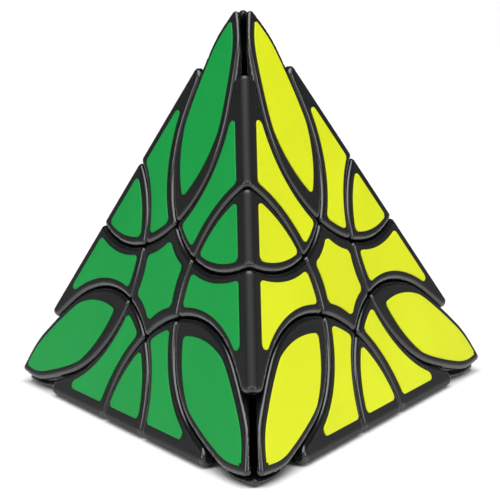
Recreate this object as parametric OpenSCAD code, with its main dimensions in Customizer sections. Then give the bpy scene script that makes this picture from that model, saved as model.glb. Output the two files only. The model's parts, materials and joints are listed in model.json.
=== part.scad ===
// A pyramid twisty puzzle with twelve turning layers.
//
// The puzzle is a regular tetrahedron. Two turning axes pass through each of its six
// edges, at a third and at two thirds of the edge's length. Each turning layer is what
// lies inside one surface of revolution about its axis: a ball centred on the edge, a
// flare above it, and a neck and a foot flange below it. The pieces are what the twelve
// surfaces cut the pyramid into, so every fit follows from one outline and one gap. The
// corners themselves hold no piece: three petals stand round each one.
//
// Corners are numbered 0 top, 1 front, 2 right, 3 left, and a face has the number of the
// corner that it leaves out. The base face lies on z = 0 with its centre at the origin.

/* [Pyramid] */
// Edge length of the pyramid, to its sharp corners
edge = 98; // [78:1:125]
// Width of the flat that replaces each sharp ridge
ridge_flat = 0.9; // [0.2:0.1:2]

/* [Turning layers] */
// Width of the middle piece of an edge, along the ridge
leaf_w = 15.4; // [12:0.2:19]
// Distance from a sharp corner to the blunt end of a wing, along the ridge
wing_end = 18.8; // [17:0.2:23]
// How much each turning surface opens outwards above its ball, in degrees
flare_angle = 19; // [12:0.5:22]
// Radial width of that flare, where its side turns parallel to the axis
flare_w = 2.6; // [1.6:0.1:3.2]
// Space between neighbouring pieces
gap = 0.3; // [0.2:0.05:0.5]

/* [Feet] */
// Depth of the feet's tops below the middle of a face
foot_depth = 1.8; // [1.5:0.1:2.2]
// Thickness of the feet
foot_t = 4.4; // [3.2:0.1:5.4]
// Height of the narrow neck above the feet's free height
neck_h = 0.4; // [0.2:0.1:0.8]
// Half angle of the foot flange about its axis, in degrees
foot_angle = 37; // [34:0.5:39]
// Half angle of the neck about its axis, in degrees
neck_angle = 30; // [29:0.5:31]

/* [Wing caps] */
// Wall of the cap that covers a wing
cap_t = 2.4; // [1.6:0.1:3]
// Radius of the well in a wing base that holds its spring and screw
well_r = 3.3; // [3:0.1:3.5]
// Play between a cap's plug and the well
plug_play = 0.1; // [0.05:0.05:0.2]

/* [Axle screws] */
// Radius of an axle screw's shank
axle_r = 1.25; // [1:0.05:1.4]
// Radial running clearance of a wing on its axle screw
axle_play = 0.05; // [0.02:0.01:0.1]
// Radius of a screw head
head_r = 2.5; // [2.1:0.1:2.7]
// Height of a screw head
head_h = 1.8; // [1.4:0.1:2]
// Width of the slots of a screw's cross recess
recess_w = 0.8; // [0.5:0.05:1]
// Length of the recess's slots
recess_l = 3.2; // [2.4:0.1:3.6]
// Depth of the recess
recess_h = 1.1; // [0.6:0.1:1.2]
// Depth of the thread in the core
thread_depth = 6.8; // [5:0.1:7.5]
// Thickness of the spring washer
washer_t = 0.5; // [0.3:0.1:0.6]
// Free height that a spring fills under its washer
spring_h = 4.4; // [3.6:0.1:4.6]
// Radius of the spring's wire
wire_r = 0.3; // [0.2:0.05:0.35]
// Turns of a spring
spring_turns = 5; // [4:1:6]

/* [Centre screws] */
// Depth of the screw head's seat below the face
seat_depth = 2.8; // [2.4:0.1:3.2]
// Play round a screw head
head_play = 0.2; // [0.1:0.05:0.4]

/* [Stickers] */
// Thickness of a sticker
sticker_t = 0.2; // [0.1:0.05:0.4]
// Bare rim between a sticker and the edge of its piece
rim = 1.6; // [1:0.1:2]
// Bare strip between a sticker and the sharp ridge
ridge_rim = 3.5; // [2:0.1:4.5]

/* [Hidden] */
// Directions from the pyramid's centre to its corners: top, front, right, left.
CORNERS = [
    [0, 0, 1],
    [0, -sqrt(8) / 3, -1 / 3],
    [sqrt(2 / 3), sqrt(2) / 3, -1 / 3],
    [-sqrt(2 / 3), sqrt(2) / 3, -1 / 3]
];
CORNER_NAMES = ["top", "front", "right", "left"];
FACE_NAMES = ["base", "back", "left_face", "right_face"];
FACE_COLOURS = ["firebrick", "royalblue", "forestgreen", "gold"];
STICKER_NAMES = ["red", "blue", "green", "yellow"];
PLASTIC = "#26272b";
STEEL = "silver";

// Each turning axis is [near corner, far corner]: it meets that edge nearer to the first.
AXES = [for (near = [0:3]) for (far = [0:3]) if (near != far) [near, far]];
// The four layers that turn in this build, one at each corner and no two of them touching.
LAYERS = [[0, 1], [1, 2], [2, 3], [3, 0]];
FIXED_AXES = [for (a = AXES) if (!is_layer(a)) a];
// Each petal is [corner, face], each edge leaf is [corner, corner].
PETALS = [for (corner = [0:3]) for (face = [0:3]) if (corner != face) [corner, face]];
LEAVES = [for (a = [0:2]) for (b = [a + 1:3]) [a, b]];

in_r = edge * sqrt(6) / 12;
corner_r = edge * sqrt(6) / 4;
ridge_r = edge * sqrt(2) / 4;
face_angle = acos(1 / 3);
ridge_cut = ridge_flat / 2 / tan(face_angle / 2);
turn_centre = corner_r * norm(2 * CORNERS[0] + CORNERS[1]) / 3;
turn_r = edge / 6 + leaf_w / 2;
// How far inside its ball a flare starts, so that the two cross cleanly.
flare_step = 0.05;
// Turn of a layer's seam away from the pyramid's planes of symmetry, in degrees.
seam_turn = 20;
// Step between the walls of layers that cut one piece, so that no rims cross in a point.
stagger = 0.01;
// How far a cutting body or a shank runs past the surface that it has to reach.
overrun = 1;
shank_overlap = 0.4;
// What a face centre's blank has round the points where the six layers meet.
hub_margin = 2.7;
foot_top = (in_r - foot_depth) * cos(foot_angle);
foot_low_r = in_r - foot_depth - foot_t;
layer_low = foot_low_r * cos(foot_angle) - overrun;
// The height that lets the rim of one layer's feet pass over the top of another's.
foot_play = foot_top * (cos(neck_angle) / cos(foot_angle) - 1);
neck_top = foot_top + foot_play + neck_h;
stalk_top = in_r * cos(neck_angle) + neck_h;
junction_r = edge * sqrt(3) / 6 - sqrt(turn_r * turn_r - edge * edge / 36);
hub_r = junction_r + hub_margin;
core_r = foot_low_r - gap / 2;
thread_end = core_r - thread_depth;
well_floor = in_r - foot_depth + neck_h;
washer_z = well_floor + spring_h;
head_z = washer_z + washer_t;
plug_z = head_z + head_h + gap;
seat_z = in_r - sticker_t - seat_depth;
reach = edge;
$fn = 96;

function end_name(a) = str(CORNER_NAMES[a[0]], "_", CORNER_NAMES[a[1]]);
function cap_name(a) = str("wing_cap_", end_name(a));
function base_name(a) = str("wing_base_", end_name(a));
function petal_name(p) = str("petal_", CORNER_NAMES[p[0]], "_", FACE_NAMES[p[1]]);
function leaf_name(l) = str("edge_leaf_", end_name(l));
function centre_name(f) = str("centre_", FACE_NAMES[f]);
function layer_stickers_name(a, f) = str("stickers_", STICKER_NAMES[f], "_layer_", CORNER_NAMES[a[0]]);
function fixed_stickers_name(f) = str("stickers_", STICKER_NAMES[f], "_fixed");

// The corners, or faces, other than those in a list.
function others(list) = [for (n = [0:3]) if (len(search(n, list)) == 0) n];
// The two faces that meet at an axis's edge.
function faces_of(a) = others(a);
function axis_dir(a) = 2 * CORNERS[a[0]] + CORNERS[a[1]];
// The three axes whose layers overlap an axis's own: two at its corner, one along its edge.
function neighbours(a) = concat([for (k = others(a)) [a[0], k]], [[a[1], a[0]]]);
// The six axes round a face.
function axes_round(f) = [for (a = AXES) if (a[0] != f && a[1] != f) a];
// The two axes whose layers share a petal, and the third one at its corner.
function petal_axes(p) = [for (k = others(p)) [p[0], k]];
function is_layer(a) = len([for (l = LAYERS) if (l == a) l]) > 0;
function has_layer(axes) = len([for (a = axes) if (is_layer(a)) a]) > 0;

// Turns +Z to a direction, about the pyramid's centre.
module aim(d) {
    translate([0, 0, in_r])
        rotate([0, acos(d[2] / norm(d)), atan2(d[1], d[0])])
            children();
}

// The space on the inner side of a plane at a distance from the pyramid's centre.
module below_plane(d, distance) {
    aim(d) translate([-reach, -reach, distance - 2 * reach]) cube(2 * reach);
}

// The pyramid inside its sticker surface by a depth, with flats along its ridges.
module pyramid(depth) {
    ridge_distance = (in_r - depth) / sin(face_angle / 2) - ridge_cut;
    intersection() {
        intersection_for(c = CORNERS) below_plane(-c, in_r - depth);
        intersection_for(l = LEAVES) below_plane(CORNERS[l[0]] + CORNERS[l[1]], ridge_distance);
    }
}

// A cone's outline about Y between two heights, its side moved inwards by an inset.
module cone_outline(half_angle, inset, low, high) {
    tip = inset / sin(half_angle);
    slope = tan(half_angle);
    polygon([[0, low], [(low - tip) * slope, low], [(high - tip) * slope, high], [0, high]]);
}

// The flare that continues a ball's outline outwards. It leaves the ball a little way
// above the point where it is parallel to the ball's side, and ends in a straight lip.
module flare_outline(r) {
    low = turn_centre - r * sin(flare_angle);
    high = corner_r + gap;
    start = (r - flare_step) * cos(flare_angle);
    lip = r + flare_w;
    lip_low = low + (lip - start) / tan(flare_angle);
    polygon([[0, low], [start, low], [lip, lip_low], [lip, high], [0, high]]);
}

// The outline of a turning layer, which is revolved about Y. All its walls are moved
// inwards by the inset: half a gap for what turns, minus half a gap for what stays. What
// stays also leaves the free height above the feet.
module layer_outline(inset) {
    cone_outline(foot_angle, inset, layer_low, inset > 0 ? foot_top - inset : foot_top + foot_play);
    cone_outline(neck_angle, inset, layer_low, stalk_top);
    intersection() {
        union() {
            translate([0, turn_centre]) circle(turn_r - inset);
            flare_outline(turn_r - inset);
        }
        translate([0, neck_top + inset]) square(2 * reach);
    }
}

// The space that turns about an axis. The solid's seam is turned clear of its neighbours.
module layer(a, inset) {
    aim(axis_dir(a)) rotate([0, 0, seam_turn]) rotate_extrude() layer_outline(inset);
}

// What is inside every layer of one list and outside every layer of another. Each further
// layer's walls are staggered a little, so that no two rims cross in exactly one point.
module cell(inside, outside, inset, done = 0) {
    if (done < len(outside))
        difference() {
            cell(inside, outside, inset, done + 1);
            layer(outside[done], -inset - stagger * done);
        }
    else
        intersection_for(n = [0:len(inside) - 1]) layer(inside[n], inset + stagger * n);
}

// A round hole or rod along an axis, between two distances from the pyramid's centre.
module rod(r, low, high) {
    translate([0, 0, low]) cylinder(r = r, h = high - low);
}

// A wing's cell ends bluntly, short of its corner.
module wing_cell(a, inset) {
    intersection() {
        cell([a], neighbours(a), inset);
        below_plane(CORNERS[a[0]] - CORNERS[a[1]], edge / 2 - wing_end - inset);
    }
}

module petal_cell(p, inset) {
    cell(petal_axes(p), [[p[0], p[1]]], inset);
}

module leaf_cell(l, inset) {
    cell([l, [l[1], l[0]]], [], inset);
}

// What is left outside the six layers round a face, in the middle of it.
module centre_cell(f, inset, done = 0) {
    if (done < len(axes_round(f)))
        difference() {
            centre_cell(f, inset, done + 1);
            layer(axes_round(f)[done], -inset - stagger * done);
        }
    else
        aim(-CORNERS[f]) rod(hub_r, layer_low, in_r);
}

// Cuts the room for the core out of a piece.
module off_core() {
    difference() {
        children();
        translate([0, 0, in_r]) sphere(foot_low_r);
    }
}

// The visible shell of a wing, with a plug that enters the well of its base.
module wing_cap(a) {
    color(PLASTIC) union() {
        difference() {
            intersection() {
                pyramid(sticker_t);
                wing_cell(a, gap / 2);
            }
            pyramid(sticker_t + cap_t);
        }
        intersection() {
            pyramid(sticker_t);
            aim(axis_dir(a)) rod(well_r - plug_play, plug_z, turn_centre);
        }
    }
}

// The inner part of a wing: it turns on its axle screw, and its well holds the spring.
module wing_base(a) {
    color(PLASTIC) difference() {
        off_core() intersection() {
            pyramid(sticker_t + cap_t);
            wing_cell(a, gap / 2);
        }
        aim(axis_dir(a)) rod(axle_r + axle_play, layer_low, turn_centre);
        aim(axis_dir(a)) rod(well_r, well_floor, turn_centre);
    }
}

module wing_bases_fixed() {
    for (a = FIXED_AXES) wing_base(a);
}

// A corner piece of one face. Three of them stand round each corner.
module petal(p) {
    color(PLASTIC) off_core() intersection() {
        pyramid(sticker_t);
        petal_cell(p, gap / 2);
    }
}

// The middle piece of an edge.
module edge_leaf(l) {
    color(PLASTIC) off_core() intersection() {
        pyramid(sticker_t);
        leaf_cell(l, gap / 2);
    }
}

// The middle of a face, with a counterbore for the screw that holds it on the core.
module centre(f) {
    color(PLASTIC) difference() {
        off_core() intersection() {
            pyramid(sticker_t);
            centre_cell(f, gap / 2);
        }
        aim(-CORNERS[f]) rod(axle_r, layer_low, in_r);
        aim(-CORNERS[f]) rod(head_r + head_play, seat_z, in_r);
    }
}

// The ball that every screw is driven into.
module core() {
    color("dimgray") difference() {
        translate([0, 0, in_r]) sphere(core_r);
        for (a = AXES) aim(axis_dir(a)) rod(axle_r, thread_end, in_r);
        for (c = CORNERS) aim(-c) rod(axle_r, thread_end, in_r);
    }
}

// A cross-recessed screw whose head seats at a distance from the pyramid's centre.
module screw(seat) {
    color(STEEL) difference() {
        union() {
            rod(axle_r, thread_end, seat + shank_overlap);
            rod(head_r, seat, seat + head_h);
        }
        for (turn = [0, 90])
            rotate([0, 0, turn])
                translate([-recess_l / 2, -recess_w / 2, seat + head_h - recess_h])
                    cube([recess_l, recess_w, recess_h]);
    }
}

module axle_screws() {
    for (a = AXES) aim(axis_dir(a)) screw(head_z);
}

module centre_screws() {
    for (c = CORNERS) aim(-c) screw(seat_z);
}

// A washer under each axle screw's head.
module washers() {
    color(STEEL) for (a = AXES)
        aim(axis_dir(a)) translate([0, 0, washer_z]) difference() {
            cylinder(r = head_r, h = washer_t);
            cylinder(r = axle_r, h = washer_t);
        }
}

// A spring's coils as a corrugated sleeve of the wire's thickness round its screw.
module spring_sleeve() {
    in_side = axle_r + plug_play;
    out_side = head_r;
    pitch = (spring_h - axle_play) / spring_turns;
    middle = (in_side + out_side) / 2;
    sway = [-wire_r, wire_r];
    flank = [for (n = [0:2 * spring_turns]) [middle + sway[n % 2], n * pitch / 2]];
    last = len(flank) - 1;
    outer = [for (n = [last:-1:0]) flank[n] + [wire_r, 0]];
    rotate_extrude() polygon(concat([for (q = flank) q - [wire_r, 0]], outer));
}

module springs() {
    color(STEEL) for (a = AXES)
        aim(axis_dir(a)) translate([0, 0, well_floor + axle_play]) spring_sleeve();
}

// The layer just under the sticker surface of a face, short of its ridges.
module sticker_sheet(f) {
    intersection() {
        aim(-CORNERS[f])
            translate([-reach, -reach, in_r - sticker_t])
                cube([2 * reach, 2 * reach, sticker_t]);
        intersection_for(other = others([f]))
            below_plane(-CORNERS[other], in_r - ridge_rim * sin(face_angle));
    }
}

// The stickers of one face on a list of wings, petals, leaves and centres. The third
// layer's wall passes under a petal's tip without cutting its face, so it is left out.
module stickers(f, wings, petals, leaves, centres) {
    color(FACE_COLOURS[f]) intersection() {
        sticker_sheet(f);
        union() {
            for (a = wings) wing_cell(a, rim);
            for (p = petals) cell(petal_axes(p), [], rim);
            for (l = leaves) leaf_cell(l, rim);
            for (c = centres) centre_cell(c, rim);
        }
    }
}

// A turning layer's stickers on one of its two faces.
module layer_stickers(a, f) {
    leaf = [min(a), max(a)];
    stickers(f, [a], [[a[0], f]], [leaf], []);
}

module fixed_stickers(f) {
    wings = [for (a = axes_round(f)) if (!is_layer(a)) a];
    petals = [for (c = others([f])) if (!has_layer(petal_axes([c, f]))) [c, f]];
    leaves = [for (l = LEAVES) if (l[0] != f && l[1] != f && !has_layer([l, [l[1], l[0]]])) l];
    stickers(f, wings, petals, leaves, [f]);
}

core();
axle_screws();
centre_screws();
springs();
washers();
wing_bases_fixed();
for (a = AXES) wing_cap(a);
for (a = LAYERS) wing_base(a);
for (p = PETALS) petal(p);
for (l = LEAVES) edge_leaf(l);
for (f = [0:3]) centre(f);
for (a = LAYERS)
    for (f = faces_of(a))
        layer_stickers(a, f);
for (f = [0:3]) fixed_stickers(f);
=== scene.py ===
"""Looks of a pyramid twisty puzzle with twelve turning layers.

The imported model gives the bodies, the joints and the place of every piece. Each black
shell is built again here as one closed skin with rounded rims, and stands for its CAD
node. The stickers become die-cut vinyl plates, and the springs real coils. The core,
the screws, the washers and the wing bases stay as packed and only get their finishes.
"""

from __future__ import annotations

import json
import logging
import math
from dataclasses import dataclass
from enum import Enum
from itertools import product
from typing import Any, Callable, Iterator

import bpy
import numpy as np
from mathutils import Matrix, Vector

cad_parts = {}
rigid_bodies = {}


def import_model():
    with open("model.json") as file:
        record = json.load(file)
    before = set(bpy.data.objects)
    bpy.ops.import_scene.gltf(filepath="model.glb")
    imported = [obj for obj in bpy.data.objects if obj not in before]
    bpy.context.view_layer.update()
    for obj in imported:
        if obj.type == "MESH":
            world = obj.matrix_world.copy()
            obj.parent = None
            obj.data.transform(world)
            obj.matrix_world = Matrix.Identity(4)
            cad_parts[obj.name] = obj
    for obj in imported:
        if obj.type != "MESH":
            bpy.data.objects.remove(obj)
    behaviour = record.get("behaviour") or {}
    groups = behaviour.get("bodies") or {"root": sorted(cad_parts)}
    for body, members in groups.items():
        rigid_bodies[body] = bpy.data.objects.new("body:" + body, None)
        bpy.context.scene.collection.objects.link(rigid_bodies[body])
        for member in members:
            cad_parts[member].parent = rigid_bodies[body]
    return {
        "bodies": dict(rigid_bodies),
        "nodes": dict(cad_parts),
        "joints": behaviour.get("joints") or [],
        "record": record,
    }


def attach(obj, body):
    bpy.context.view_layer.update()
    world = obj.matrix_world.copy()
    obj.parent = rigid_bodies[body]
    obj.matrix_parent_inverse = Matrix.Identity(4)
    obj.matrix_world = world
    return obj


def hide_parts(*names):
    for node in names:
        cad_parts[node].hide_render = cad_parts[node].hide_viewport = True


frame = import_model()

log = logging.getLogger("puzzle")

MM = 0.001
Points = np.ndarray
Field = Callable[[Points], np.ndarray]


class Corner(Enum):
    """The pyramid's corners, as unit directions from its centre."""

    TOP = (0.0, 0.0, 1.0)
    FRONT = (0.0, -math.sqrt(8) / 3, -1 / 3)
    RIGHT = (math.sqrt(2 / 3), math.sqrt(2) / 3, -1 / 3)
    LEFT = (-math.sqrt(2 / 3), math.sqrt(2) / 3, -1 / 3)

    @property
    def number(self) -> int:
        """The corner's place in the list of corners."""
        return list(Corner).index(self)

    @property
    def label(self) -> str:
        """The corner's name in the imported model's node names."""
        return self.name.lower()


class Face(Enum):
    """The faces in the order of the corner that each one leaves out: colour word and hex."""

    BASE = ("red", "#b81c26")
    BACK = ("blue", "#17489a")
    LEFT_FACE = ("green", "#0b923f")
    RIGHT_FACE = ("yellow", "#d5de19")

    @property
    def label(self) -> str:
        """The face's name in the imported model's node names."""
        return self.name.lower()

    @property
    def colour_word(self) -> str:
        """The colour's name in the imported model's node names."""
        return self.value[0]


CORNERS = np.array([corner.value for corner in Corner])


def linear(hex_colour: str) -> tuple[float, float, float, float]:
    """Turns an sRGB hex colour to the linear colour that a shader takes.

    Args:
        hex_colour: The colour as "#rrggbb".

    Returns:
        Linear red, green and blue, and an alpha of 1.
    """
    shares = [int(hex_colour[place:place + 2], 16) / 255 for place in (1, 3, 5)]
    parts = [s / 12.92 if s <= 0.04045 else ((s + 0.055) / 1.055) ** 2.4 for s in shares]
    return (parts[0], parts[1], parts[2], 1.0)


def add_node(
    tree: bpy.types.NodeTree,
    kind: str,
    settings: dict[str, Any] | None = None,
    inputs: dict[str | int, Any] | None = None,
) -> bpy.types.Node:
    """Adds one node with its settings, its values and its links.

    Args:
        tree: The node tree that takes the node.
        kind: The node's type name.
        settings: Values of the node's own properties.
        inputs: A value, or the output socket to link from, for each input socket.

    Returns:
        The new node.
    """
    node = tree.nodes.new(kind)
    for name, value in (settings or {}).items():
        setattr(node, name, value)
    for name, value in (inputs or {}).items():
        if isinstance(value, bpy.types.NodeSocket):
            tree.links.new(value, node.inputs[name])
        else:
            node.inputs[name].default_value = value
    return node


def per_metre(size_mm: float) -> float:
    """The texture scale that repeats a pattern every so many millimetres."""
    return 1 / (size_mm * MM)


@dataclass(frozen=True)
class Finish:
    """What every finish has: a name for what it is, a colour and a gloss.

    Attributes:
        name: The material's name.
        colour: Main colour, sRGB hex.
        roughness: Roughness of the untouched surface.
    """

    name: str
    colour: str
    roughness: float

    def start(self) -> tuple[bpy.types.NodeTree, bpy.types.Node, bpy.types.NodeSocket]:
        """Makes the empty material.

        Returns:
            Its tree, its Principled shader, and the output of the object's coordinates.
        """
        material = bpy.data.materials.new(self.name)
        material.use_nodes = True
        tree = material.node_tree
        tree.nodes.clear()
        shader = add_node(tree, "ShaderNodeBsdfPrincipled", inputs={
            "Base Color": linear(self.colour),
            "Roughness": self.roughness,
        })
        add_node(tree, "ShaderNodeOutputMaterial", inputs={"Surface": shader.outputs["BSDF"]})
        place = add_node(tree, "ShaderNodeTexCoord")
        return tree, shader, place.outputs["Object"]

    def build(self) -> bpy.types.Material:
        """Makes the material, or gives the one that is already made."""
        made = bpy.data.materials.get(self.name)
        if made is None:
            self.dress(*self.start())
            made = bpy.data.materials[self.name]
        return made

    def dress(
        self, tree: bpy.types.NodeTree, shader: bpy.types.Node, place: bpy.types.NodeSocket
    ) -> None:
        """Adds the finish's own patterns to the tree."""
        raise NotImplementedError


@dataclass(frozen=True)
class MouldedAbs(Finish):
    """ABS from a finely etched mould: matt flats, and rims polished by handling.

    Attributes:
        worn: Colour of the lighter clouds that handling leaves.
        rim_roughness: Roughness where the surface turns over a rim.
        flat_sheen: Specular level of the etched flats, which scatter most of their sheen.
        rim_sheen: Specular level of the polished rims.
        grain_mm: Width of the mould's etched grain. The real 0.08 mm is too fine to
            show, so it is drawn three times as wide.
        cloud_mm: Width of the handling clouds.
        relief_mm: Height of the grain.
    """

    worn: str = "#141517"
    rim_roughness: float = 0.16
    flat_sheen: float = 0.26
    rim_sheen: float = 0.75
    grain_mm: float = 0.25
    cloud_mm: float = 9.0
    relief_mm: float = 0.008

    def dress(
        self, tree: bpy.types.NodeTree, shader: bpy.types.Node, place: bpy.types.NodeSocket
    ) -> None:
        """Adds grain, clouds and polished rims."""
        shader.inputs["IOR"].default_value = 1.53
        grain = add_node(tree, "ShaderNodeTexNoise", inputs={
            "Vector": place, "Scale": per_metre(self.grain_mm), "Detail": 3.0, "Roughness": 0.6,
        })
        clouds = add_node(tree, "ShaderNodeTexNoise", inputs={
            "Vector": place, "Scale": per_metre(self.cloud_mm), "Detail": 4.0, "Roughness": 0.55,
        })
        colour = add_node(tree, "ShaderNodeMix", {"data_type": "RGBA"}, {
            "Factor": clouds.outputs["Fac"], 6: linear(self.colour), 7: linear(self.worn),
        })
        tree.links.new(colour.outputs[2], shader.inputs["Base Color"])
        rim = add_node(tree, "ShaderNodeAttribute", {"attribute_name": "rim"})
        gloss = add_node(tree, "ShaderNodeMapRange", inputs={
            "Value": rim.outputs["Fac"], "From Min": 0.2, "From Max": 0.7,
            "To Min": self.roughness, "To Max": self.rim_roughness,
        })
        sheen = add_node(tree, "ShaderNodeMapRange", inputs={
            "Value": rim.outputs["Fac"], "From Min": 0.2, "From Max": 0.7,
            "To Min": self.flat_sheen, "To Max": self.rim_sheen,
        })
        tree.links.new(sheen.outputs["Result"], shader.inputs["Specular IOR Level"])
        smudged = add_node(tree, "ShaderNodeMath", {"operation": "MULTIPLY_ADD"}, {
            0: clouds.outputs["Fac"], 1: 0.1, 2: gloss.outputs["Result"],
        })
        tree.links.new(smudged.outputs[0], shader.inputs["Roughness"])
        bump = add_node(tree, "ShaderNodeBump", inputs={
            "Strength": 0.5, "Distance": self.relief_mm * MM, "Height": grain.outputs["Fac"],
        })
        tree.links.new(bump.outputs["Normal"], shader.inputs["Normal"])


@dataclass(frozen=True)
class VinylFilm(Finish):
    """Printed vinyl film, die-cut, with the faint orange peel of its clear coat.

    Attributes:
        peel_mm: Width of the orange peel.
        print_mm: Width of the slow drift of the print's density.
        relief_mm: Height of the orange peel.
    """

    peel_mm: float = 1.4
    print_mm: float = 16.0
    relief_mm: float = 0.006

    def dress(
        self, tree: bpy.types.NodeTree, shader: bpy.types.Node, place: bpy.types.NodeSocket
    ) -> None:
        """Adds print drift, scuffs and orange peel."""
        shader.inputs["IOR"].default_value = 1.5
        shader.inputs["Specular IOR Level"].default_value = 0.3
        drift = add_node(tree, "ShaderNodeTexNoise", inputs={
            "Vector": place, "Scale": per_metre(self.print_mm), "Detail": 2.0,
        })
        density = add_node(tree, "ShaderNodeMapRange", inputs={
            "Value": drift.outputs["Fac"], "From Min": 0.3, "From Max": 0.7,
            "To Min": 0.965, "To Max": 1.035,
        })
        colour = add_node(tree, "ShaderNodeHueSaturation", inputs={
            "Color": linear(self.colour), "Value": density.outputs["Result"],
        })
        tree.links.new(colour.outputs["Color"], shader.inputs["Base Color"])
        peel = add_node(tree, "ShaderNodeTexNoise", inputs={
            "Vector": place, "Scale": per_metre(self.peel_mm), "Detail": 2.0,
        })
        scuffs = add_node(tree, "ShaderNodeMapRange", inputs={
            "Value": peel.outputs["Fac"],
            "To Min": self.roughness - 0.05, "To Max": self.roughness + 0.05,
        })
        tree.links.new(scuffs.outputs["Result"], shader.inputs["Roughness"])
        bump = add_node(tree, "ShaderNodeBump", inputs={
            "Strength": 0.35, "Distance": self.relief_mm * MM, "Height": peel.outputs["Fac"],
        })
        tree.links.new(bump.outputs["Normal"], shader.inputs["Normal"])


@dataclass(frozen=True)
class PlatedSteel(Finish):
    """Zinc-plated steel, turned or drawn: fine lines, and slightly uneven plating.

    Attributes:
        line_mm: Spacing of the tool's or the die's lines.
        cloud_mm: Width of the plating's clouds.
        relief_mm: Height of the lines.
    """

    line_mm: float = 0.12
    cloud_mm: float = 1.5
    relief_mm: float = 0.004

    def dress(
        self, tree: bpy.types.NodeTree, shader: bpy.types.Node, place: bpy.types.NodeSocket
    ) -> None:
        """Adds lines and clouds."""
        shader.inputs["Metallic"].default_value = 1.0
        clouds = add_node(tree, "ShaderNodeTexNoise", inputs={
            "Vector": place, "Scale": per_metre(self.cloud_mm), "Detail": 3.0,
        })
        gloss = add_node(tree, "ShaderNodeMapRange", inputs={
            "Value": clouds.outputs["Fac"],
            "To Min": self.roughness - 0.06, "To Max": self.roughness + 0.08,
        })
        tree.links.new(gloss.outputs["Result"], shader.inputs["Roughness"])
        tint = add_node(tree, "ShaderNodeHueSaturation", inputs={
            "Color": linear(self.colour), "Value": 1.0, "Saturation": clouds.outputs["Fac"],
        })
        tree.links.new(tint.outputs["Color"], shader.inputs["Base Color"])
        lines = add_node(tree, "ShaderNodeTexNoise", inputs={
            "Vector": place, "Scale": per_metre(self.line_mm), "Detail": 1.0,
        })
        bump = add_node(tree, "ShaderNodeBump", inputs={
            "Strength": 0.4, "Distance": self.relief_mm * MM, "Height": lines.outputs["Fac"],
        })
        tree.links.new(bump.outputs["Normal"], shader.inputs["Normal"])


@dataclass(frozen=True)
class PaperSweep(Finish):
    """White background paper, matt, with a faint tooth.

    Attributes:
        tooth_mm: Width of the paper's tooth.
    """

    tooth_mm: float = 2.0

    def dress(
        self, tree: bpy.types.NodeTree, shader: bpy.types.Node, place: bpy.types.NodeSocket
    ) -> None:
        """Adds the tooth."""
        shader.inputs["Specular IOR Level"].default_value = 0.1
        tooth = add_node(tree, "ShaderNodeTexNoise", inputs={
            "Vector": place, "Scale": per_metre(self.tooth_mm), "Detail": 3.0,
        })
        bump = add_node(tree, "ShaderNodeBump", inputs={
            "Strength": 0.05, "Distance": 0.05 * MM, "Height": tooth.outputs["Fac"],
        })
        tree.links.new(bump.outputs["Normal"], shader.inputs["Normal"])


BLACK_ABS = MouldedAbs("ABS_etched_mould_black", "#0e0f10", 0.46)
CORE_ABS = MouldedAbs("ABS_etched_mould_grey", "#3c3d40", 0.5, worn="#47484b")
SCREW_STEEL = PlatedSteel("Steel_zinc_plated", "#c3c7cc", 0.3)
SPRING_STEEL = PlatedSteel("Spring_steel_drawn_wire", "#a9abae", 0.24)
SWEEP = PaperSweep("Paper_sweep_white", "#f4f4f4", 0.9)


def round_max(fields: list[np.ndarray], radius: float) -> np.ndarray:
    """Cuts solids with one another and rounds the rims between them.

    Args:
        fields: Signed distances, negative inside.
        radius: Radius of the rims.

    Returns:
        The signed distance of what all of them share.
    """
    over = sum(np.maximum(f + radius, 0) ** 2 for f in fields)
    return np.minimum(np.maximum.reduce(fields), -radius) + np.sqrt(over)


def slope(solid: Field, points: Points) -> np.ndarray:
    """Gradient of a field.

    Args:
        solid: The field.
        points: Points, one a row, in two or three dimensions.

    Returns:
        The gradients, one a row.
    """
    small = 0.01
    steps = np.eye(points.shape[1]) * small
    return np.stack([(solid(points + s) - solid(points - s)) / (2 * small) for s in steps], 1)


def fillet(parts: list[Field], radius: float) -> Field:
    """Rounds the corners between walls to a true radius, whatever angle they meet at.

    Args:
        parts: Fields of the walls.
        radius: Radius of the corners.

    Returns:
        The field of what lies inside all of them.
    """

    def rounded(points: Points) -> np.ndarray:
        """Distance from the two nearest walls, or from the corner that they share."""
        values = np.stack([part(points) for part in parts]) + radius
        order = np.argsort(values, axis=0)[-2:]
        second, first = np.take_along_axis(values, order, 0)
        near = np.flatnonzero((first > 0) & (first < 4 * radius) & (second > -first))
        if len(near):
            slopes = np.stack([slope(part, points[near]) for part in parts])
            pick = np.arange(len(near))
            lean = (slopes[order[1, near], pick] * slopes[order[0, near], pick]).sum(1)
            lean = lean.clip(-0.99, 0.99)
            one, two = first[near], second[near]
            corner = np.sqrt((one ** 2 + two ** 2 - 2 * one * two * lean) / (1 - lean ** 2))
            first[near] = np.where(two > lean * one, corner, one)
        return first - radius

    return rounded


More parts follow.
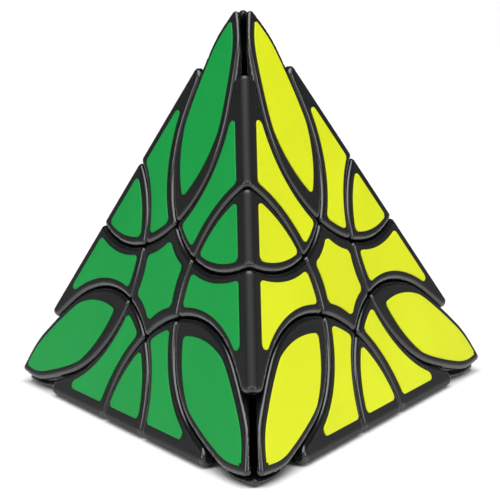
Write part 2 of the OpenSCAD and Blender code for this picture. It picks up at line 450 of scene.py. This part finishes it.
@dataclass(frozen=True)
class Cut:
    """The surfaces that cut the pyramid into its pieces, in millimetres and degrees.

    All distances are from the pyramid's centre. A field takes points and gives their
    signed distances from a surface, negative inside.

    Attributes:
        edge: Edge length of the pyramid.
        leaf_width: Width of an edge leaf along the ridge.
        wing_end: Distance from a sharp corner to the blunt end of a wing.
        flare: How much each turning surface opens outwards.
        flare_width: Radial width of that flare, where its side turns parallel to the axis.
        gap: Space between neighbouring pieces.
        foot_depth: Depth of the feet's tops below the middle of a face.
        foot_thickness: Thickness of the feet.
        neck_height: Height of the neck above the feet's free height.
        foot_angle: Half angle of the foot flange.
        neck_angle: Half angle of the neck.
        cap_wall: Wall of a wing's cap.
        plug_radius: Radius of the plug inside a cap.
        plug_height: Distance of the plug's end from the centre.
        film: Thickness of a sticker.
        ridge_radius: Radius of the rounded ridges.
        rim_radius: Radius of the rim round each piece's face.
        corner_radius: Radius of a piece's corners, seen from its face.
        inner_radius: Radius of the rims inside the puzzle.
        lip_blend: Depth of the soft turn between the flare and its straight lip.
    """

    edge: float
    leaf_width: float = 15.4
    wing_end: float = 18.8
    flare: float = 19.0
    flare_width: float = 2.6
    gap: float = 0.3
    foot_depth: float = 1.8
    foot_thickness: float = 4.4
    neck_height: float = 0.4
    foot_angle: float = 37.0
    neck_angle: float = 30.0
    cap_wall: float = 2.4
    plug_radius: float = 3.2
    plug_height: float = 25.6
    film: float = 0.2
    ridge_radius: float = 1.3
    rim_radius: float = 0.75
    corner_radius: float = 0.9
    inner_radius: float = 0.35
    lip_blend: float = 0.8

    @property
    def in_radius(self) -> float:
        """Distance of the faces from the centre."""
        return self.edge * math.sqrt(6) / 12

    @property
    def ball_height(self) -> float:
        """Distance of the turning balls' centres, which lie on the edges."""
        return self.in_radius * float(np.linalg.norm(2 * CORNERS[0] + CORNERS[1]))

    @property
    def ball_radius(self) -> float:
        """Radius of the turning balls."""
        return self.edge / 6 + self.leaf_width / 2

    @property
    def foot_top(self) -> float:
        """Height of the feet's tops along a turning axis."""
        return (self.in_radius - self.foot_depth) * math.cos(math.radians(self.foot_angle))

    @property
    def foot_play(self) -> float:
        """Free height over the feet, which lets one layer's rim pass another's."""
        narrow = math.cos(math.radians(self.neck_angle))
        return self.foot_top * (narrow / math.cos(math.radians(self.foot_angle)) - 1)

    def axis(self, near: int, far: int) -> np.ndarray:
        """The unit direction of the turning axis nearer to the first corner."""
        direction = 2 * CORNERS[near] + CORNERS[far]
        return direction / np.linalg.norm(direction)

    def layer(self, points: Points, near: int, far: int, turns: bool) -> np.ndarray:
        """Field of one turning layer's surface of revolution.

        Args:
            points: Points, one a row.
            near: Corner that the axis is nearer to.
            far: Corner at the edge's other end.
            turns: True for what turns with the layer, False for what stays.

        Returns:
            The signed distances, with half a gap on the side asked for.
        """
        axis = self.axis(near, far)
        along = points @ axis
        out = np.sqrt(np.maximum((points ** 2).sum(1) - along ** 2, 0))
        rise = along - self.ball_height
        lean = math.radians(self.flare)
        above = rise * math.cos(lean) + out * math.sin(lean) > 0
        flare = out * math.cos(lean) - rise * math.sin(lean)
        wall = np.where(above, flare, np.hypot(out, rise)) - self.ball_radius
        lip = out - self.ball_radius - self.flare_width
        blend = np.maximum(self.lip_blend - np.abs(wall - lip), 0) ** 2 / (4 * self.lip_blend)
        wall = np.maximum(wall, lip) + blend
        neck_top = self.foot_top + self.foot_play + self.neck_height
        inset = self.gap / 2 if turns else -self.gap / 2
        foot_top = self.foot_top if turns else self.foot_top + self.foot_play + inset
        stalk_top = self.in_radius * math.cos(math.radians(self.neck_angle)) + self.neck_height

        def cone(angle: float, top: float) -> np.ndarray:
            """Field of a cone round the axis, cut off at a height."""
            tilt = math.radians(angle)
            side = out * math.cos(tilt) - along * math.sin(tilt)
            return round_max([side + inset, along - top], self.inner_radius)

        head = round_max([wall + inset, neck_top - along + inset], self.inner_radius)
        return np.minimum.reduce([head, cone(self.neck_angle, stalk_top), cone(self.foot_angle, foot_top)])

    def inside(self, near: int, far: int) -> Field:
        """Field of what turns with a layer."""
        return lambda points: self.layer(points, near, far, True)

    def outside(self, near: int, far: int) -> Field:
        """Field of what a layer leaves standing."""
        return lambda points: -self.layer(points, near, far, False)

    def pyramid(self, points: Points, depth: float) -> np.ndarray:
        """Field of the pyramid at a depth inside its faces, with rounded ridges."""
        faces = np.sort(points @ -CORNERS.T - self.in_radius + depth, axis=1)
        first = faces[:, 3] + self.ridge_radius
        second = faces[:, 2] + self.ridge_radius
        meet = np.sqrt(np.maximum(first ** 2 + second ** 2 + first * second * 2 / 3, 0) * 9 / 8)
        return np.where(second * 3 + first > 0, meet, first) - self.ridge_radius

    def below_feet(self, points: Points) -> np.ndarray:
        """Field of the space outside the ball of room that the core needs."""
        room = self.in_radius - self.foot_depth - self.foot_thickness
        return room - np.sqrt((points ** 2).sum(1))


@dataclass(frozen=True)
class Skin:
    """A closed skin laid over a field, as quads on a regular grid of cells.

    Attributes:
        step: Width of a cell in millimetres.
        coarse: Width of the cells that first find where the solid lies.
        settle: Steps that pull each vertex onto the surface.
    """

    step: float = 0.5
    coarse: float = 3.0
    settle: int = 3

    def settle_on(self, solid: Field, points: Points) -> tuple[Points, np.ndarray]:
        """Pulls points onto a field's surface.

        Args:
            solid: The field.
            points: Points near its surface.

        Returns:
            The points on the surface, and the unit normals there.
        """
        for _ in range(self.settle):
            gradient = slope(solid, points)
            step = solid(points) / (gradient ** 2).sum(1).clip(0.2)
            points = points - gradient * step[:, None]
        gradient = slope(solid, points)
        return points, gradient / np.linalg.norm(gradient, axis=1).clip(1e-6)[:, None]

    def grid(self, low: np.ndarray, high: np.ndarray, step: float) -> Points:
        """A block of points with one axis of the array for each dimension, and one for x, y, z."""
        rows = [np.arange(a, b + step, step) for a, b in zip(low, high)]
        return np.stack(np.meshgrid(*rows, indexing="ij"), -1)

    def cover(self, solid: Field, reach: float) -> tuple[Points, np.ndarray, list[list[int]]]:
        """Lays the skin.

        Args:
            solid: The field of the solid.
            reach: How far from the centre the solid may lie.

        Returns:
            Vertices, unit normals, and quads as lists of four vertex numbers.
        """
        block = self.grid(np.full(3, -reach), np.full(3, reach), self.coarse).reshape(-1, 3)
        near = block[solid(block) < self.coarse]
        grid = self.grid(near.min(0) - self.coarse, near.max(0) + self.coarse, self.step)
        inside = solid(grid.reshape(-1, 3)).reshape(grid.shape[:3]) < 0
        spans = [[slice(i, n - 1 + i) for i in (0, 1)] for n in inside.shape]
        filled = sum(inside[corner].astype(int) for corner in product(*spans))
        crossed = (filled > 0) & (filled < 8)
        number = np.full(crossed.shape, -1)
        number[crossed] = np.arange(crossed.sum())
        centres = grid[:-1, :-1, :-1][crossed] + self.step / 2
        points, normals = self.settle_on(solid, centres)
        quads = []
        for turn in range(3):
            solidity, cell = np.moveaxis(inside, turn, 0), np.moveaxis(number, turn, 0)
            change = (solidity[:-1] != solidity[1:])[:, 1:-1, 1:-1]
            i, j, k = np.nonzero(change)
            quads.append(np.stack(
                [cell[i, j, k], cell[i, j + 1, k], cell[i, j + 1, k + 1], cell[i, j, k + 1]], 1
            ))
        loops = np.concatenate(quads)
        across = np.cross(points[loops[:, 2]] - points[loops[:, 0]], points[loops[:, 3]] - points[loops[:, 1]])
        inward = (across * normals[loops].sum(1)).sum(1) < 0
        loops[inward] = loops[inward][:, ::-1]
        return points, normals, loops.tolist()

    def outline(self, flat: Field, reach: float) -> tuple[Points, np.ndarray]:
        """Traces the outline of a field in a plane, with the inside on the left.

        Args:
            flat: The field over points of two coordinates.
            reach: How far from the origin the outline may lie.

        Returns:
            The outline's points in order, and its outward unit normals.
        """
        grid = self.grid(np.full(2, -reach), np.full(2, reach), self.step)
        inside = flat(grid.reshape(-1, 2)).reshape(grid.shape[:2]) < 0
        follow: dict[tuple[int, int], tuple[int, int]] = {}
        for i, j in zip(*np.nonzero(inside[:-1] != inside[1:])):
            pair = [(i, j - 1), (i, j)] if inside[i, j] else [(i, j), (i, j - 1)]
            follow[pair[0]] = pair[1]
        for i, j in zip(*np.nonzero(inside[:, :-1] != inside[:, 1:])):
            pair = [(i, j), (i - 1, j)] if inside[i, j] else [(i - 1, j), (i, j)]
            follow[pair[0]] = pair[1]
        first = cell = next(iter(follow))
        path = [first]
        while follow[cell] != first:
            cell = follow[cell]
            path.append(cell)
        centres = np.array([grid[i, j] for i, j in path]) + self.step / 2
        return self.settle_on(flat, centres)


def new_mesh(name: str, points_mm: Points, loops: list[list[int]]) -> bpy.types.Mesh:
    """Makes a smooth-shaded mesh.

    Args:
        name: The mesh's name.
        points_mm: Vertices in millimetres.
        loops: Faces as lists of vertex numbers.

    Returns:
        The mesh, in metres.
    """
    mesh = bpy.data.meshes.new(name)
    mesh.from_pydata((points_mm * MM).tolist(), [], loops)
    mesh.shade_smooth()
    mesh.update()
    return mesh


@dataclass
class Puzzle:
    """What all sub-assemblies share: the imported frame, the cut and the skins.

    Attributes:
        cut: The surfaces that cut the pyramid.
        node_body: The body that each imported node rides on.
        skin: The skin of the black shells.
        film_skin: The finer grid that traces the stickers' outlines.
    """

    cut: Cut
    node_body: dict[str, str]
    skin: Skin = Skin()
    film_skin: Skin = Skin(step=0.3)

    @classmethod
    def from_frame(cls, packed: dict[str, Any]) -> Puzzle:
        """Reads the pyramid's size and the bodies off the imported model."""
        centre_height = packed["joints"][0]["pos_m"][2] / MM
        bodies = packed["record"]["behaviour"]["bodies"]
        riders = {node: body for body, nodes in bodies.items() for node in nodes}
        return cls(Cut(edge=centre_height * 12 / math.sqrt(6)), riders)

    def turned(self, first: int, second: int) -> tuple[list[int], Matrix]:
        """The turn of the pyramid that takes corner 0 to one corner and corner 1 to another.

        Args:
            first: Where corner 0 goes.
            second: Where corner 1 goes.

        Returns:
            Where each corner goes, and the turn about the pyramid's centre in metres.
        """
        rest = [n for n in range(4) if n not in (first, second)]
        for order in ([first, second, *rest], [first, second, *rest[::-1]]):
            turn = sum(np.outer(CORNERS[order[n]], CORNERS[n]) for n in range(4)) * 0.75
            if np.linalg.det(turn) > 0:
                break
        lift = Matrix.Translation((0, 0, self.cut.in_radius * MM))
        return order, lift @ Matrix(turn.tolist()).to_4x4()

    def place(self, name: str, mesh: bpy.types.Mesh, where: Matrix, finish: Finish,
              node: str, slot: str) -> bpy.types.Object:
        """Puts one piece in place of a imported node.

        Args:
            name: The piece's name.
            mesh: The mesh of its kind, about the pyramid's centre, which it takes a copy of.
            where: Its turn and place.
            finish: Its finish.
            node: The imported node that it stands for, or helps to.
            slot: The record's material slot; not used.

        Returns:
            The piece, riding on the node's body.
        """
        own = mesh.copy()
        own.transform(where)
        own.materials.append(finish.build())
        piece = bpy.data.objects.new(name, own)
        bpy.context.scene.collection.objects.link(piece)
        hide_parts(node)
        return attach(piece, self.node_body[node])

    def dress_node(self, node: str, finish: Finish, slot: str) -> None:
        """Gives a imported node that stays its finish."""
        kept = frame["nodes"][node]
        kept.data.materials.clear()
        kept.data.materials.append(finish.build())
        log.info("%s keeps its packed shape", node)


@dataclass
class Shell:
    """One kind of black shell: its skin, and the stickers that lie on it.

    Corner 0 and corner 1 name the first one of its kind, and every other one is a turn
    of it.

    Attributes:
        puzzle: What all sub-assemblies share.
        stem: The kind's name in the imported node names.
        faces: The faces that it shows, with corners 0 and 1 as they are.
    """

    puzzle: Puzzle
    stem: str
    faces: tuple[int, ...]
    film_rim: float = 1.6
    film_ridge_rim: float = 3.5
    film_corner: float = 0.9

    def walls(self) -> list[Field]:
        """Fields of the walls between it and its neighbours."""
        raise NotImplementedError

    def film_room(self, wall: int, points: Points) -> np.ndarray:
        """Bare rim that the sticker leaves along a wall, at each point of the face."""
        return np.full(len(points), self.film_rim)

    def keys(self) -> Iterator[tuple[int, int, str]]:
        """The two corners that name each one of the kind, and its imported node."""
        raise NotImplementedError

    def solid(self, points: Points) -> np.ndarray:
        """Field of the whole shell."""
        cut = self.puzzle.cut
        walls = fillet(self.walls(), cut.corner_radius)(points)
        body = round_max([walls, cut.pyramid(points, cut.film)], cut.rim_radius)
        return round_max([body, cut.below_feet(points)], cut.inner_radius)

    def shell_mesh(self) -> bpy.types.Mesh:
        """Lays the shell's skin.

        Returns:
            The mesh, with the share of each vertex that lies on a rim as "rim".
        """
        cut = self.puzzle.cut
        points, normals, quads = self.puzzle.skin.cover(self.solid, cut.edge * 0.65)
        mesh = new_mesh(f"{self.stem}_shell", points, quads)
        mesh.normals_split_custom_set_from_vertices(normals.tolist())
        near_wall = 1 + fillet(self.walls(), cut.corner_radius)(points) / (2 * cut.rim_radius)
        rim = mesh.attributes.new("rim", "FLOAT", "POINT")
        rim.data.foreach_set("value", near_wall.clip(0, 1).astype(np.float32))
        return mesh

    def film_mesh(self, face: int) -> bpy.types.Mesh:
        """Cuts the sticker that lies on one face of the first shell of the kind.

        Args:
            face: The face's number.

        Returns:
            A thin plate with a fine bevel round its top.
        """
        cut = self.puzzle.cut
        normal = -CORNERS[face]
        side = np.cross(normal, CORNERS[face - 1])
        side /= np.linalg.norm(side)
        frame_rows = np.stack([side, np.cross(normal, side)])
        ridge_room = self.film_ridge_rim * math.sqrt(8) / 3

        def on_face(spots: Points) -> Points:
            """The points in space of spots in the face's plane."""
            return spots @ frame_rows + normal * cut.in_radius

        def off_wall(number: int, wall: Field) -> Field:
            """Field in the face's plane of what keeps the bare rim from a wall."""
            return lambda spots: wall(on_face(spots)) + self.film_room(number, on_face(spots))

        def off_ridge(other: int) -> Field:
            """Field in the face's plane of what keeps the bare strip from a ridge."""
            return lambda spots: on_face(spots) @ -CORNERS[other] - cut.in_radius + ridge_room

        parts = [off_wall(number, wall) for number, wall in enumerate(self.walls())]
        parts += [off_ridge(n) for n in range(4) if n != face]
        flat = fillet(parts, self.film_corner)
        spots, outward = self.puzzle.film_skin.outline(flat, cut.edge * 0.6)
        count, bevel = len(spots), cut.film * 0.3
        rings = [(0.0, cut.film), (0.0, bevel), (bevel, 0.0)]
        points = np.concatenate([
            (spots - outward * inset) @ frame_rows + normal * (cut.in_radius - depth)
            for inset, depth in rings
        ])
        sides = [
            [row * count + n, row * count + (n + 1) % count,
             (row + 1) * count + (n + 1) % count, (row + 1) * count + n]
            for row in range(len(rings) - 1) for n in range(count)
        ]
        top = [list(range(2 * count, 3 * count))]
        bottom = [list(range(count))[::-1]]
        mesh = new_mesh(f"{self.stem}_film_{face}", points, sides + top + bottom)
        mesh.set_sharp_from_angle(angle=math.radians(30))
        return mesh

    def build(self) -> None:
        """Builds every shell of the kind, with its stickers."""
        shell = self.shell_mesh()
        films = {face: self.film_mesh(face) for face in self.faces}
        for first, second, node in self.keys():
            order, where = self.puzzle.turned(first, second)
            piece = self.puzzle.place(
                f"{node}_shell", shell, where, BLACK_ABS, node, "black_plastic"
            )
            for face, film in films.items():
                self.stick(order[face], film, where, node)
            log.info("%s rides on %s", piece.name, self.puzzle.node_body[node])

    def stick(self, face: int, film: bpy.types.Mesh, where: Matrix, node: str) -> None:
        """Puts one sticker on a shell.

        Args:
            face: The number of the face that it lies in.
            film: The sticker's mesh.
            where: The shell's turn and place.
            node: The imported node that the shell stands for.
        """
        side = list(Face)[face]
        body = self.puzzle.node_body[node]
        group = "fixed" if body == "core" else body
        finish = VinylFilm(f"Vinyl_film_{side.colour_word}", side.value[1], 0.42)
        self.puzzle.place(
            f"sticker_{side.colour_word}_{node}", film, where, finish,
            f"stickers_{side.colour_word}_{group}", f"sticker_{side.colour_word}",
        )


class WingCap(Shell):
    """The visible shell of a wing, with the plug that enters its base."""

    end_radius: float = 2.2

    def blunt_end(self) -> list[Field]:
        """Short of its corner, and outside its two neighbours there."""
        cut = self.puzzle.cut
        along = (CORNERS[0] - CORNERS[1]) / np.linalg.norm(CORNERS[0] - CORNERS[1])
        end = cut.edge / 2 - cut.wing_end - cut.gap / 2
        return [lambda points: points @ along - end, cut.outside(0, 2), cut.outside(0, 3)]

    def walls(self) -> list[Field]:
        """Inside its own layer, outside the third neighbour, and its blunt end."""
        cut = self.puzzle.cut
        return [cut.inside(0, 1), cut.outside(1, 0), *self.blunt_end()]

    def keys(self) -> Iterator[tuple[int, int, str]]:
        """One for each turning axis."""
        for near, far in product(Corner, Corner):
            if near is not far:
                yield near.number, far.number, f"wing_cap_{near.label}_{far.label}"

    def solid(self, points: Points) -> np.ndarray:
        """A bowl-shaped wall over the base, and its plug."""
        cut = self.puzzle.cut
        rounded_end = fillet(self.blunt_end(), self.end_radius)
        sides = [cut.inside(0, 1), cut.outside(1, 0), rounded_end]
        walls = fillet(sides, cut.corner_radius)(points)
        outer = round_max([walls, cut.pyramid(points, cut.film)], cut.rim_radius)
        under = -cut.pyramid(points, cut.film + cut.cap_wall)
        along = points @ cut.axis(0, 1)
        out = np.sqrt(np.maximum((points ** 2).sum(1) - along ** 2, 0))
        plug = np.maximum.reduce([
            out - cut.plug_radius, cut.plug_height - along, cut.pyramid(points, cut.film + 1),
        ])
        return np.minimum(round_max([outer, under], cut.inner_radius), plug)


class Petal(Shell):
    """A corner piece of one face, with the foot that holds it."""

    film_taper: float = 0.14
    film_tip_rim: float = 0.6

    def film_room(self, wall: int, points: Points) -> np.ndarray:
        """A bare rim that grows from the petal's waist towards the middle of the face.

        The third wall passes close under the petal's tip, and leaves its face whole.
        """
        waist = self.puzzle.cut.in_radius * 5 / 3
        least = self.film_tip_rim if wall == 2 else self.film_rim
        return least + self.film_taper * np.maximum(waist - points @ CORNERS[0], 0)

    def walls(self) -> list[Field]:
        """Inside two layers at its corner, outside the third."""
        cut = self.puzzle.cut
        return [cut.inside(0, 2), cut.inside(0, 3), cut.outside(0, 1)]

    def keys(self) -> Iterator[tuple[int, int, str]]:
        """One for each corner and each face that meets it."""
        for corner, (number, face) in product(Corner, enumerate(Face)):
            if corner.number != number:
                yield corner.number, number, f"petal_{corner.label}_{face.label}"


class EdgeLeaf(Shell):
    """The middle piece of an edge, with the foot that holds it."""

    def walls(self) -> list[Field]:
        """Inside both layers of its edge."""
        cut = self.puzzle.cut
        return [cut.inside(0, 1), cut.inside(1, 0)]

    def keys(self) -> Iterator[tuple[int, int, str]]:
        """One for each edge."""
        for one, other in product(Corner, Corner):
            if one.number < other.number:
                yield one.number, other.number, f"edge_leaf_{one.label}_{other.label}"


class FaceCentre(Shell):
    """The middle piece of a face, which a screw holds on the core."""

    blank_margin: float = 2.7

    def walls(self) -> list[Field]:
        """Outside the six layers round its face, inside a round blank."""
        cut = self.puzzle.cut
        junction = cut.edge * math.sqrt(3) / 6 - math.sqrt(cut.ball_radius ** 2 - cut.edge ** 2 / 36)

        def blank(points: Points) -> np.ndarray:
            """Field of the round blank that it is cut from, on its own side of the core."""
            along = points @ -CORNERS[1]
            out = np.sqrt(np.maximum((points ** 2).sum(1) - along ** 2, 0))
            return np.maximum(out - junction - self.blank_margin, -along)

        round_face = [cut.outside(a, b) for a, b in product((0, 2, 3), repeat=2) if a != b]
        return [blank, *round_face]

    def keys(self) -> Iterator[tuple[int, int, str]]:
        """One for each face."""
        for number, face in enumerate(Face):
            yield (number + 1) % 4, number, f"centre_{face.label}"


@dataclass
class Axles:
    """What holds the puzzle together inside: core, screws, washers and springs.

    Attributes:
        puzzle: What all sub-assemblies share.
        wire_radius: Radius of a spring's wire.
        coil_radius: Radius of a spring's coil, at the middle of the wire.
        foot_height: Where a spring stands along its axis.
        height: Height of a spring as fitted.
        coils: Working coils of a spring.
        dead_coils: Closed coils at each end of a spring.
        wire_sides: Sides of the wire's ring.
        steps: Rings in each coil.
    """

    puzzle: Puzzle
    wire_radius: float = 0.3
    coil_radius: float = 1.92
    foot_height: float = 18.65
    height: float = 4.35
    coils: float = 4.0
    dead_coils: float = 0.75
    wire_sides: int = 8
    steps: int = 28

    def spring_mesh(self) -> bpy.types.Mesh:
        """Winds one compression spring with closed ends along the first turning axis."""
        turns = self.coils + 2 * self.dead_coils
        share = np.linspace(0, turns, int(turns * self.steps) + 1)
        free = self.height - 2 * self.wire_radius
        closed = 2 * self.wire_radius * self.dead_coils
        knots = [0, self.dead_coils, turns - self.dead_coils, turns]
        rise = np.interp(share, knots, [0, closed, free - closed, free])
        axis = self.puzzle.cut.axis(0, 1)
        side = np.cross(axis, CORNERS[2])
        side /= np.linalg.norm(side)
        front = np.cross(axis, side)
        turn = 2 * math.pi * share[:, None]
        out = np.cos(turn) * side + np.sin(turn) * front
        middle = out * self.coil_radius
        middle = middle + axis * (self.foot_height + self.wire_radius + rise)[:, None]
        around = np.linspace(0, 2 * math.pi, self.wire_sides, endpoint=False)
        points = np.concatenate([
            middle[:, None] + self.wire_radius * (
                np.cos(around)[None, :, None] * out[:, None] + np.sin(around)[None, :, None] * axis
            )
        ]).reshape(-1, 3)
        sides = self.wire_sides
        quads = [
            [r * sides + n, r * sides + (n + 1) % sides,
             (r + 1) * sides + (n + 1) % sides, (r + 1) * sides + n]
            for r in range(len(share) - 1) for n in range(sides)
        ]
        last = (len(share) - 1) * sides
        ends = [list(range(sides))[::-1], [last + n for n in range(sides)]]
        return new_mesh("spring_coil", points, quads + ends)

    def build(self) -> None:
        """Winds the springs and dresses what stays as packed."""
        coil = self.spring_mesh()
        for near, far in product(Corner, Corner):
            if near is far:
                continue
            where = self.puzzle.turned(near.number, far.number)[1]
            self.puzzle.place(
                f"spring_{near.label}_{far.label}", coil, where, SPRING_STEEL, "springs", "spring_wire"
            )
        self.puzzle.dress_node("core", CORE_ABS, "core_plastic")
        for node in sorted(frame["nodes"]):
            if node.startswith("wing_base"):
                self.puzzle.dress_node(node, BLACK_ABS, "black_plastic")
            elif node.endswith(("screws", "washers")):
                self.puzzle.dress_node(node, SCREW_STEEL, "steel")


@dataclass
class Studio:
    """The camera, the lights and the white sweep that the puzzle stands on.

    Attributes:
        distance: Camera's distance from the base's middle, as a share of the edge.
        height: Its height over the floor, as a share of the edge.
        aside: How far it stands to the right, as a share of the edge.
        pan: Turn of its view to the right, in degrees.
        tilt: Its view above the horizon, in degrees.
        roll: Its lean to the right, in degrees.
        lens: Focal length in millimetres, on a sensor 36 mm wide.
        floor_size: Width of the floor in metres.
    """

    puzzle: Puzzle
    distance: float = 3.786
    height: float = 1.023
    aside: float = -0.002
    pan: float = 0.07
    tilt: float = -10.71
    roll: float = 1.35
    lens: float = 147.0
    floor_size: float = 8.0

    def set_camera(self) -> None:
        """Stands the camera where the reference view was taken from."""
        data = bpy.data.cameras.new("view")
        data.sensor_width = 36.0
        data.lens = self.lens
        data.clip_start = 0.01
        data.clip_end = 20.0
        camera = bpy.data.objects.new("view", data)
        bpy.context.scene.collection.objects.link(camera)
        edge = self.puzzle.cut.edge * MM
        spot = Vector((self.aside, -self.distance, self.height)) * edge
        pan, lift, lean = (math.radians(a) for a in (-self.pan, 90 + self.tilt, -self.roll))
        turn = Matrix.Rotation(pan, 4, "Z") @ Matrix.Rotation(lift, 4, "X")
        camera.matrix_world = Matrix.Translation(spot) @ turn @ Matrix.Rotation(lean, 4, "Z")
        bpy.context.scene.camera = camera

    def lay_floor(self) -> None:
        """Lays the sweep that the puzzle stands on."""
        half = self.floor_size / 2 / MM
        square = np.array([[-half, -half, 0], [half, -half, 0], [half, half, 0], [-half, half, 0]])
        floor = bpy.data.objects.new("sweep", new_mesh("sweep", square, [[0, 1, 2, 3]]))
        floor.data.materials.append(SWEEP.build())
        floor.location.z = -0.02 * MM
        bpy.context.scene.collection.objects.link(floor)

    def softbox(self, name: str, spot: tuple[float, float, float], size: float, watts: float) -> None:
        """Hangs one square softbox that looks at the middle of the puzzle.

        Args:
            name: The light's name.
            spot: Where it hangs, in metres.
            size: Its width in metres.
            watts: Its power.
        """
        data = bpy.data.lights.new(name, "AREA")
        data.shape = "SQUARE"
        data.size = size
        data.energy = watts
        light = bpy.data.objects.new(name, data)
        bpy.context.scene.collection.objects.link(light)
        light.location = spot
        aim = Vector((0, 0, self.puzzle.cut.in_radius * MM)) - light.location
        light.rotation_euler = aim.to_track_quat("-Z", "Y").to_euler()

    def light(self) -> None:
        """Sets the overhead sky panel, two side softboxes and a room that is bright in front."""
        data = bpy.data.lights.new("sky_panel", "SUN")
        data.energy = 2.9
        data.angle = math.radians(60)
        sky = bpy.data.objects.new("sky_panel", data)
        bpy.context.scene.collection.objects.link(sky)
        sky.rotation_euler = (math.radians(12), 0, 0)
        self.softbox("left_box", (-0.55, -0.35, 0.35), 0.3, 1.0)
        self.softbox("right_box", (0.55, -0.35, 0.35), 0.3, 1.0)
        world = bpy.data.worlds.new("room")
        bpy.context.scene.world = world
        world.use_nodes = True
        world.node_tree.nodes.clear()
        way = add_node(world.node_tree, "ShaderNodeTexCoord")
        parts = add_node(world.node_tree, "ShaderNodeSeparateXYZ", inputs={
            "Vector": way.outputs["Generated"],
        })
        glow = add_node(world.node_tree, "ShaderNodeMapRange", {"interpolation_type": "SMOOTHSTEP"}, {
            "Value": parts.outputs["Y"], "From Min": -1.0, "From Max": 0.4,
            "To Min": 0.6, "To Max": 0.05,
        })
        room = add_node(world.node_tree, "ShaderNodeBackground", inputs={
            "Color": linear("#ffffff"), "Strength": glow.outputs["Result"],
        })
        add_node(world.node_tree, "ShaderNodeOutputWorld", inputs={"Surface": room.outputs[0]})

    def build(self) -> None:
        """Sets up the view, the floor and the lights."""
        self.set_camera()
        self.lay_floor()
        self.light()
        bpy.context.scene.view_settings.view_transform = "Standard"


def main() -> None:
    """Builds the puzzle's looks, sub-assembly by sub-assembly, and its studio."""
    logging.basicConfig(level=logging.INFO, format="%(name)s: %(message)s")
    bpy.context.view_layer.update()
    puzzle = Puzzle.from_frame(frame)
    log.info("edge %.2f mm", puzzle.cut.edge)
    Studio(puzzle).build()
    WingCap(puzzle, "wing_cap", (2, 3)).build()
    Petal(puzzle, "petal", (1,)).build()
    EdgeLeaf(puzzle, "edge_leaf", (2, 3)).build()
    FaceCentre(puzzle, "centre", (1,)).build()
    Axles(puzzle).build()


if __name__ == "__main__":
    main()
